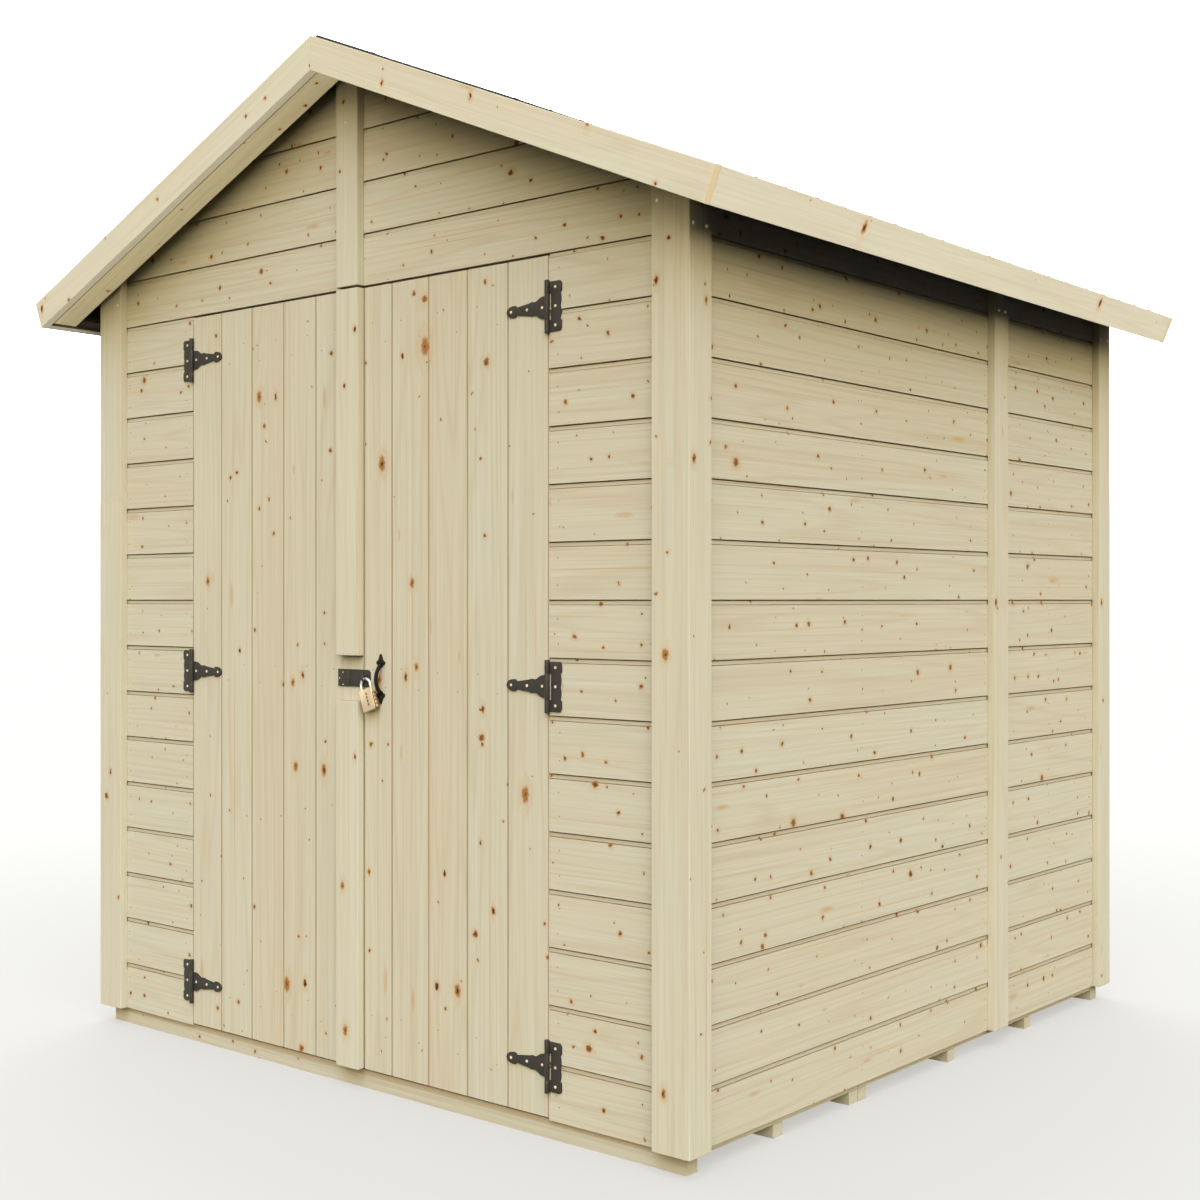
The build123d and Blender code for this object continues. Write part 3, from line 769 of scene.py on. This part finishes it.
# ironwork, felt and lock finishes

def makeBlackMetal(name, dark, worn, gloss=0.35):
    material, tree, shader = startMaterial(name)
    place = addNode(tree, "TexCoord").outputs["Object"]
    grit = noise(tree, place, 900.0, 2.0)
    wear = softStep(tree, noise(tree, place, 70.0, 3.0), 0.55, 0.80)
    colour = mixColour(tree, math2(tree, "MULTIPLY", wear, 0.6), dark, worn)
    tree.links.new(colour, shader.inputs["Base Color"])
    tree.links.new(math2(tree, "MULTIPLY_ADD", grit, 0.25, 0.42), shader.inputs["Roughness"])
    shader.inputs["Specular IOR Level"].default_value = gloss
    addBump(tree, shader, grit, 0.25, 0.0002)
    return material


def makeLockMetal(name, light, dark, rough, metallic=1.0):
    material, tree, shader = startMaterial(name)
    place = addNode(tree, "TexCoord").outputs["Object"]
    brushed = noise(tree, stretch(tree, place, (1500, 1500, 90)), 1.0, 2.0)
    tarnish = noise(tree, place, 60.0, 3.0)
    colour = mixColour(tree, softStep(tree, tarnish, 0.3, 0.75), light, dark)
    tree.links.new(colour, shader.inputs["Base Color"])
    tree.links.new(math2(tree, "MULTIPLY_ADD", brushed, 0.18, rough), shader.inputs["Roughness"])
    shader.inputs["Metallic"].default_value = metallic
    addBump(tree, shader, brushed, 0.12, 0.0001)
    return material


def makeFelt():
    material, tree, shader = startMaterial("mineralFelt")
    place = addNode(tree, "TexCoord").outputs["Object"]
    grains = addNode(tree, "TexVoronoi")
    tree.links.new(place, grains.inputs["Vector"])
    grains.inputs["Scale"].default_value = 650.0
    pick = addNode(tree, "SeparateColor")
    tree.links.new(grains.outputs["Color"], pick.inputs["Color"])
    blotch = noise(tree, place, 5.0, 3.0)
    colour = mixColour(tree, pick.outputs[0], (0.006, 0.006, 0.007), (0.030, 0.031, 0.034))
    faded = math2(tree, "MULTIPLY", softStep(tree, blotch, 0.4, 0.8), 0.3)
    colour = mixColour(tree, faded, colour, (0.022, 0.022, 0.024))
    tree.links.new(colour, shader.inputs["Base Color"])
    tree.links.new(math2(tree, "MULTIPLY_ADD", pick.outputs[1], 0.2, 0.75), shader.inputs["Roughness"])
    addBump(tree, shader, grains.outputs["Distance"], 0.6, 0.0012)
    return material


blackMetal = makeBlackMetal("blackJapan", (0.026, 0.023, 0.019), (0.048, 0.043, 0.036))
pullBlack = makeBlackMetal("pullBlack", (0.006, 0.005, 0.003), (0.016, 0.013, 0.009), 0.18)
brass = makeLockMetal("agedBrass", (0.62, 0.50, 0.34), (0.56, 0.43, 0.27), 0.40, 0.15)
chrome = makeLockMetal("brightSteel", (0.80, 0.77, 0.72), (0.66, 0.63, 0.58), 0.22, 0.8)
# near black in the shallow sight holes: painted shade of deep holes
holeShadeBlack = makeLockMetal("holeShadeBlack", (0.030, 0.012, 0.004), (0.016, 0.007, 0.002), 0.70, 0.0)
felt = makeFelt()
zinc = makeLockMetal("paleZinc", (0.80, 0.70, 0.54), (0.66, 0.56, 0.41), 0.36, 0.5)
nailSteel = makeLockMetal("dullNails", (0.34, 0.33, 0.31), (0.20, 0.19, 0.18), 0.50)
# dark brown behind the number wheels: painted shade in the gaps between them
wheelGapShade = makeLockMetal("wheelGapShade", (0.15, 0.070, 0.022), (0.07, 0.032, 0.010), 0.50, 0.2)
dialMetal = makeLockMetal("dialMetal", (0.46, 0.24, 0.08), (0.24, 0.11, 0.03), 0.34, 0.4)
print("metals and felt")


def refine(node, width, material, slot, body):
    # a merged copy of a CAD solid, its triangles dissolved, its edges eased and its curves smoothed
    twin = mergedCopy(node)
    twin.name = node + "_eased"
    bpy.ops.mesh.dissolve_limited(angle_limit=math.radians(1.0))
    objectMode()
    easeEdges(twin, width, 2, 50)
    bpy.ops.object.shade_smooth_by_angle(angle=math.radians(35))
    return mount(twin, material, slot, body, node)


ironwork = {"hinge_butts": "shed", "left_hinge_straps": "left_door", "right_hinge_straps": "right_door",
            "hasp_plate": "left_door", "staple_plate": "right_door"}
eased = {"plates": 0.0004, "handle": 0.0005, "lock": 0.0005, "shackle": 0.0003}
for node, body in ironwork.items():
    refine(node, eased["plates"], blackMetal, "black_metal", body)
pull = {"level": 0.879, "bowHalf": 0.035, "ridgeInset": 0.0022, "ridgeRise": 0.0012}
handle = refine("door_handle", eased["handle"], pullBlack, "black_metal", "right_door")
editSome(handle, "FACE", lambda spot, normal: normal.y < -0.98 and abs(spot.z - pull["level"]) > pull["bowHalf"])
bpy.ops.mesh.inset(thickness=pull["ridgeInset"])
bpy.ops.transform.translate(value=(0, -pull["ridgeRise"], 0))
objectMode()
refine("padlock_body", eased["lock"], brass, "lock_brass", "right_door")
refine("padlock_shackle", eased["shackle"], chrome, "lock_chrome", "right_door")
print("ironwork:", len(ironwork) + 3, "pieces")


# screws: a domed head with a driver recess, made once

screw = {"radius": 0.0030, "rise": 0.0010, "rim": 0.0006, "recess": 0.0012, "sunk": 0.0007, "taper": 0.55}


def makeScrew():
    # head towards -Y, seat at y = 0
    head = addDisc(14, screw["radius"], screw["rise"], (0, -screw["rise"] / 2, 0), 90)
    front = -screw["rise"] + 0.0001
    editSome(head, "EDGE", lambda a, b: max(a.y, b.y) < front)
    bpy.ops.mesh.bevel(offset=screw["rim"], segments=2)
    objectMode()
    editSome(head, "FACE", lambda spot, normal: normal.y < -0.99 and spot.y < front)
    bpy.ops.mesh.inset(thickness=screw["recess"])
    bpy.ops.mesh.extrude_region_move(TRANSFORM_OT_translate={"value": (0, screw["sunk"], 0)})
    bpy.ops.transform.resize(value=(screw["taper"], 1, screw["taper"]))
    objectMode()
    bpy.ops.object.shade_smooth_by_angle(angle=math.radians(40))
    return head


def driveScrews(name, spots, body, slot="black_metal"):
    # spots: (place, facing in degrees, size)
    heads = []
    for place, facing, size in spots:
        turn = Matrix.Rotation(math.radians(facing), 4, "Z") @ Matrix.Rotation(rng.uniform(0, 6.2), 4, "Y")
        heads.append(copyPiece(screwHead, Matrix.Translation(place) @ turn @ Matrix.Scale(size, 4)))
    mount(joinPieces(name, heads), zinc, slot, body)


screwHead = makeScrew()
hinge = {"axisX": 0.56425, "levels": (0.144, 0.879, 1.614), "face": -0.9025, "strap": 0.110,
         "strapHoles": (0.135, 0.50, 0.885), "buttX": 0.0193, "buttZ": 0.037}
buttSpots, strapSpots = [], {-1: [], 1: []}
for side in (-1, 1):
    for level in hinge["levels"]:
        for z in (-hinge["buttZ"], 0.0, hinge["buttZ"]):
            x = side * (hinge["axisX"] + hinge["buttX"])
            buttSpots.append(((x, hinge["face"], level + z), 0, 1.0))
        for share in hinge["strapHoles"]:
            x = side * (hinge["axisX"] - share * hinge["strap"])
            strapSpots[side].append(((x, hinge["face"], level), 0, 1.0))
hasp = {"screws": ((-0.0298, 0.8905), (-0.0406, 0.8774), (-0.0298, 0.8639)), "face": -0.9025, "size": 0.55}
strapSpots[-1] += [((x, hasp["face"], z), 0, hasp["size"]) for x, z in hasp["screws"]]
driveScrews("hinge_butt_screws", buttSpots, "shed")
driveScrews("left_door_screws", strapSpots[-1], "left_door")
driveScrews("right_door_screws", strapSpots[1], "right_door")

fixing = {"frontX": 0.845, "frontZ": 1.774, "sideZ": 1.7255, "sideY": (-0.9076, -0.867, 0.2857, 0.318, 0.862, 0.902),
          "gableX": -0.003, "gableZ": 2.071, "face": 0.919, "size": 1.15}
trimSpots = []
for side in (-1, 1):
    trimSpots.append(((side * fixing["frontX"], -fixing["face"], fixing["frontZ"]), 0, fixing["size"]))
    trimSpots.append(((side * fixing["frontX"], fixing["face"], fixing["frontZ"]), 180, fixing["size"]))
    for y in fixing["sideY"]:
        trimSpots.append(((side * fixing["face"], y, fixing["sideZ"]), 90 * side, fixing["size"]))
for end in (-1, 1):
    place = (fixing["gableX"], end * fixing["face"], fixing["gableZ"])
    trimSpots.append((place, 0 if end < 0 else 180, fixing["size"]))
driveScrews("trim_screws", trimSpots, "shed", "trim_timber")
discard(screwHead)
print("screws:", len(buttSpots) + len(strapSpots[-1]) + len(strapSpots[1]) + len(trimSpots))


# nails: small dull heads, two to a board at every stud and ledge

nail = {"radius": 0.0016, "rise": 0.0003, "stray": 0.003, "courses": 15, "heights": (0.028, 0.078),
        "front": (0.590, 0.820), "back": (0.080, 0.440, 0.800), "side": (-0.838, -0.295, 0.253, 0.347, 0.594, 0.838),
        "wallFace": 0.900, "leaf": (0.039, 0.5635), "ledge": 0.020, "strapRun": 0.118, "strapHalf": 0.022}


def makeNail():
    head = addDisc(8, nail["radius"], nail["rise"], (0, -nail["rise"] / 2, 0), 90)
    editSome(head, "FACE", lambda spot, normal: normal.y < -0.99)
    bpy.ops.mesh.inset(thickness=nail["radius"] * 0.4)
    bpy.ops.transform.translate(value=(0, -nail["rise"], 0))
    objectMode()
    return head


def hammer(name, spots, body):
    heads = []
    for place, facing in spots:
        stray = Vector((rng.uniform(-nail["stray"], nail["stray"]), 0, rng.uniform(-nail["stray"], nail["stray"])))
        turn = Matrix.Rotation(math.radians(facing), 4, "Z")
        heads.append(copyPiece(nailHead, Matrix.Translation(place) @ turn @ Matrix.Translation(stray)))
    mount(joinPieces(name, heads), nailSteel, "shiplap_boards" if body == "shed" else "door_timber", body)


nailHead = makeNail()
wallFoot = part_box("right_wall_front")[0].z
wallNails = []
wallFace = nail["wallFace"]
for course in range(nail["courses"]):
    for height in nail["heights"]:
        z = wallFoot + course * shiplap["cover"] + height
        for side in (-1, 1):
            wallNails += [((side * x, -wallFace, z), 0) for x in nail["front"]]
            wallNails += [((side * x, wallFace, z), 180) for x in nail["back"]]
            wallNails += [((side * wallFace, y, z), 90 * side) for y in nail["side"]]
hammer("wall_nails", wallNails, "shed")
for body, side in (("left_door", -1), ("right_door", 1)):
    lines = nail["leaf"][:1] + door["joints"] + nail["leaf"][1:]
    spots = []
    for a, b in zip(lines, lines[1:]):
        for level in hinge["levels"]:
            for share, lift in ((0.25, nail["ledge"]), (0.75, -nail["ledge"])):
                x = a + (b - a) * share
                underStrap = abs(x - hinge["axisX"]) <= nail["strapRun"] and abs(lift) <= nail["strapHalf"]
                if not underStrap:
                    spots.append(((side * x, -wallFace, level + lift), 0))
    hammer(body + "_nails", spots, body)
discard(nailHead)
print("nails:", len(wallNails), "on the walls")


# padlock: knurled number wheels at its edge and four sight holes beside them

lock = {"bow": (0.05256, -0.911, 0.86428), "tilt": -19.0, "wide": 0.040, "thick": 0.014,
        "wheels": 4, "wheelRadius": 0.0064, "wheelHigh": 0.0056, "pitch": 0.0082, "drop": -0.037, "proud": 0.0014,
        "knurlInset": 0.0002, "knurlRise": 0.0003, "holeRight": 0.0028, "holeTop": -0.0185, "holePitch": 0.0078,
        "holeRadius": 0.0025, "holeDeep": 0.0004, "windowHigh": 0.036, "windowDeep": 0.0112,
        "windowIn": 0.001, "windowOut": 0.0003, "windowEase": 0.0002}
lockPlace = Matrix.Translation(lock["bow"]) @ Matrix.Rotation(math.radians(lock["tilt"]), 4, "Y")
wheels, holes = [], []


def onKnurl(spot, normal):
    # every other strip round a wheel's rim
    return abs(normal.z) < 0.1 and int(math.degrees(math.atan2(normal.y, normal.x)) + 368) % 30 < 15


for i in range(lock["wheels"]):
    z = lock["drop"] + lock["pitch"] * ((lock["wheels"] - 1) / 2 - i)
    x = lock["wide"] / 2 + lock["proud"] - lock["wheelRadius"]
    wheel = addDisc(24, lock["wheelRadius"], lock["wheelHigh"], (x, 0, z))
    editSome(wheel, "FACE", onKnurl)
    bpy.ops.mesh.inset(thickness=lock["knurlInset"], use_individual=True)
    bpy.ops.transform.shrink_fatten(value=lock["knurlRise"])
    objectMode()
    wheels.append(wheel)
    # each sight hole is shallow and near black: painted shade
    place = (lock["holeRight"], -lock["thick"] / 2, lock["holeTop"] - lock["holePitch"] * i)
    hole = addDisc(12, lock["holeRadius"], lock["holeDeep"], place, 90)
    editSome(hole, "FACE", lambda spot, normal: normal.y < -0.9)
    bpy.ops.mesh.inset(thickness=lock["holeRadius"] * 0.35)
    bpy.ops.transform.translate(value=(0, lock["holeDeep"] / 2, 0))
    objectMode()
    holes.append(hole)
# a dark block behind the wheels: painted shade between them
half = Vector((0, lock["windowDeep"] / 2, lock["windowHigh"] / 2))
side = Vector((lock["wide"] / 2, 0, lock["drop"]))
window = addBlock("window", side - half - Vector((lock["windowIn"], 0, 0)),
                  side + half + Vector((lock["windowOut"], 0, 0)))
easeEdges(window, lock["windowEase"])
lockParts = (("padlock_wheels", wheels, dialMetal), ("padlock_sight_holes", holes, holeShadeBlack),
             ("padlock_window", [window], wheelGapShade))
for name, pieces, metal in lockParts:
    joined = joinPieces(name, pieces)
    joined.data.transform(lockPlace)
    mount(joined, metal, "lock_brass", "right_door")
print("padlock: wheels, sight holes and window")


# roof felt: two lapped strips a slope and a ridge cap, a little uneven, with clout nails along the laps

feltRoll = {"low": 0.0009, "upper": 0.0034, "cap": 0.0010, "lap": 0.59, "lapOver": 0.10, "capRun": 0.150,
            "ridgeOver": 0.02, "wave": 0.0003, "flatEdge": 0.1, "stepAlong": 26, "stepDown": 8,
            "nailRadius": 0.0045, "nailRise": 0.0009, "nailPitch": 0.10, "nailStray": (0.004, 0.01),
            "nailIn": {"cap": 0.02, "lap": 0.025, "eave": 0.02, "first": 0.05, "last": 0.03}}
upperTop = feltRoll["low"] + feltRoll["upper"]


def addFeltStrip(side, runLow, runHigh, lift, thick):
    strip = addBlock("feltStrip", (runLow, -vergeInner, lift), (runHigh, vergeInner, lift + thick))
    for i in range(1, feltRoll["stepAlong"]):
        scoreLine(strip, (0, -vergeInner + 2 * vergeInner * i / feltRoll["stepAlong"], 0), (0, 1, 0))
    for i in range(1, feltRoll["stepDown"]):
        scoreLine(strip, (runLow + (runHigh - runLow) * i / feltRoll["stepDown"], 0, 0), (1, 0, 0))
    for v in strip.data.vertices:  # lies a little uneven
        inside = runLow + 0.001 < v.co.x < runHigh - 0.001 and abs(v.co.y) < vergeInner - feltRoll["flatEdge"]
        if inside and v.co.z > lift + thick / 2:
            v.co.z += rng.uniform(-1, 1) * feltRoll["wave"]
    strip.data.transform(slopeFrame(side))
    if runLow <= 0:
        sawOff(strip, (0, 0, 0), (-side, 0, 0))
    makeActive(strip)
    bpy.ops.object.shade_smooth_by_angle(angle=math.radians(30))
    return strip


feltStrips = []
for side in (-1, 1):
    feltStrips.append(addFeltStrip(side, feltRoll["lap"] - feltRoll["lapOver"], deckRun, 0.0, feltRoll["low"]))
    feltStrips.append(addFeltStrip(side, -feltRoll["ridgeOver"], feltRoll["lap"], feltRoll["low"], feltRoll["upper"]))
    feltStrips.append(addFeltStrip(side, -feltRoll["ridgeOver"], feltRoll["capRun"], upperTop, feltRoll["cap"]))
mount(joinPieces("felt_strips", feltStrips), felt, "roofing_felt", "shed", "roof_felt")

clout = addDisc(10, feltRoll["nailRadius"], feltRoll["nailRise"], (0, 0, feltRoll["nailRise"] / 2))
editSome(clout, "FACE", lambda spot, normal: normal.z > 0.9)
bpy.ops.mesh.inset(thickness=feltRoll["nailRadius"] * 0.35)
bpy.ops.transform.translate(value=(0, 0, feltRoll["nailRise"] * 0.4))
objectMode()
clouts = []
inset = feltRoll["nailIn"]
rows = [(feltRoll["capRun"] - inset["cap"], upperTop + feltRoll["cap"]), (feltRoll["lap"] - inset["lap"], upperTop),
        (deckRun - inset["eave"], feltRoll["low"])]
strayRun, strayAlong = feltRoll["nailStray"]
for side in (-1, 1):
    for run, top in rows:
        y = -vergeInner + inset["first"]
        while y < vergeInner - inset["last"]:
            stray = Vector((rng.uniform(-strayRun, strayRun), rng.uniform(-strayAlong, strayAlong), 0))
            spot = Matrix.Translation(Vector((run, y, top)) + stray)
            clouts.append(copyPiece(clout, slopeFrame(side) @ spot))
            y += feltRoll["nailPitch"]
discard(clout)
mount(joinPieces("clout_nails", clouts), nailSteel, "roofing_felt", "shed")
print("felt:", len(feltStrips), "strips and", len(clouts), "clout nails")


# studio: pale floor, a soft sky that is brightest overhead, camera at the photograph's place

studio = {"floorSize": 80.0, "floorTone": (0.14, 0.1358, 0.1232, 1.0), "glowTone": (1.0, 0.99, 0.95, 1.0),
          "floorGlow": (0.525, 0.10), "glowSpan": (1.2, 5.0), "sky": 2.62, "skyFoot": (0.0, 0.16), "crown": 0.45,
          "crownSpan": (0.62, 0.98), "lowLight": (1.0, 0.86, 0.52), "highLight": (0.95, 1.05, 1.30),
          "tintSpan": (0.25, 0.85), "backdrop": 1.05, "boxes": (0.25, 1.5)}

deselect()
bpy.ops.mesh.primitive_plane_add(size=studio["floorSize"], location=(0, 0, 0))
ground = bpy.context.object
ground.name = "studioFloor"
groundMaterial, tree, shader = startMaterial("paleFloor")
shader.inputs["Base Color"].default_value = studio["floorTone"]
shader.inputs["Roughness"].default_value = 1.0
shader.inputs["Specular IOR Level"].default_value = 0.0
shader.inputs["Emission Color"].default_value = studio["glowTone"]
# the floor glows, less near the shed and more far off: a painted shadow round the shed
away = addNode(tree, "VectorMath", operation="LENGTH")
tree.links.new(addNode(tree, "TexCoord").outputs["Object"], away.inputs[0])
outward = softStep(tree, away.outputs["Value"], *studio["glowSpan"])
glow = math2(tree, "MULTIPLY_ADD", outward, studio["floorGlow"][1], studio["floorGlow"][0])
tree.links.new(glow, shader.inputs["Emission Strength"])
ground.data.materials.append(groundMaterial)
ground.visible_diffuse = False  # the floor throws no light up under the eaves
ground.visible_shadow = False

world = bpy.data.worlds.new("studioSky")
bpy.context.scene.world = world
world.use_nodes = True
tree = world.node_tree
background = tree.nodes["Background"]
place = addNode(tree, "TexCoord").outputs["Generated"]
axes = addNode(tree, "SeparateXYZ")
tree.links.new(place, axes.inputs[0])
height = axes.outputs["Z"]
rise = softStep(tree, height, *studio["skyFoot"])
crown = math2(tree, "MULTIPLY_ADD", softStep(tree, height, *studio["crownSpan"]), studio["crown"], 1.0)
# two soft boxes: facing is 1 towards and away from the camera and 0 across
diagonal = math2(tree, "SUBTRACT", axes.outputs["X"], axes.outputs["Y"])
level = math2(tree, "MULTIPLY_ADD", height, math2(tree, "MULTIPLY", height, -2.0), 2.0)
facing = math2(tree, "DIVIDE", math2(tree, "MULTIPLY", diagonal, diagonal), math2(tree, "MAXIMUM", level, 0.01))
sky = math2(tree, "MULTIPLY_ADD", facing, studio["boxes"][1], studio["boxes"][0])
for part in (crown, rise, studio["sky"]):
    sky = math2(tree, "MULTIPLY", sky, part)
seen = addNode(tree, "LightPath").outputs["Is Camera Ray"]
shown = math2(tree, "MAXIMUM", sky, math2(tree, "MULTIPLY", seen, studio["backdrop"]))
tree.links.new(shown, background.inputs["Strength"])
tint = mixColour(tree, softStep(tree, height, *studio["tintSpan"]), studio["lowLight"], studio["highLight"])
tree.links.new(mixColour(tree, seen, tint, (1.0, 1.0, 1.0)), background.inputs["Color"])

# a soft lamp from below for the roof's edge boards alone, as in the photograph
edgeLamp = {"strength": 3.1, "turn": 150.0, "soft": 50.0, "colour": (1.0, 0.97, 0.90),
            "boards": ("left_barge_battens", "right_barge_battens", "fascia_battens", "verge_rail_battens")}
bpy.ops.object.light_add(type="SUN", location=(3, 0, -2), rotation=(0, math.radians(edgeLamp["turn"]), 0))
lamp = bpy.context.object
lamp.data.energy = edgeLamp["strength"]
lamp.data.angle = math.radians(edgeLamp["soft"])
lamp.data.color = edgeLamp["colour"]
edgeBoards = bpy.data.collections.new("edgeBoards")
for name in edgeLamp["boards"]:
    edgeBoards.objects.link(bpy.data.objects[name])
lamp.light_linking.receiver_collection = edgeBoards

view = {"place": (2.727, -3.323, 1.0465), "azimuth": 40.0, "lens": 50.28, "sensor": 36.0}
bpy.ops.object.camera_add(location=view["place"], rotation=(math.radians(90), 0, math.radians(view["azimuth"])))
camera = bpy.context.object
camera.data.lens = view["lens"]
camera.data.sensor_width = view["sensor"]
bpy.context.scene.camera = camera
bpy.context.scene.view_settings.view_transform = "Standard"
print("studio ready")
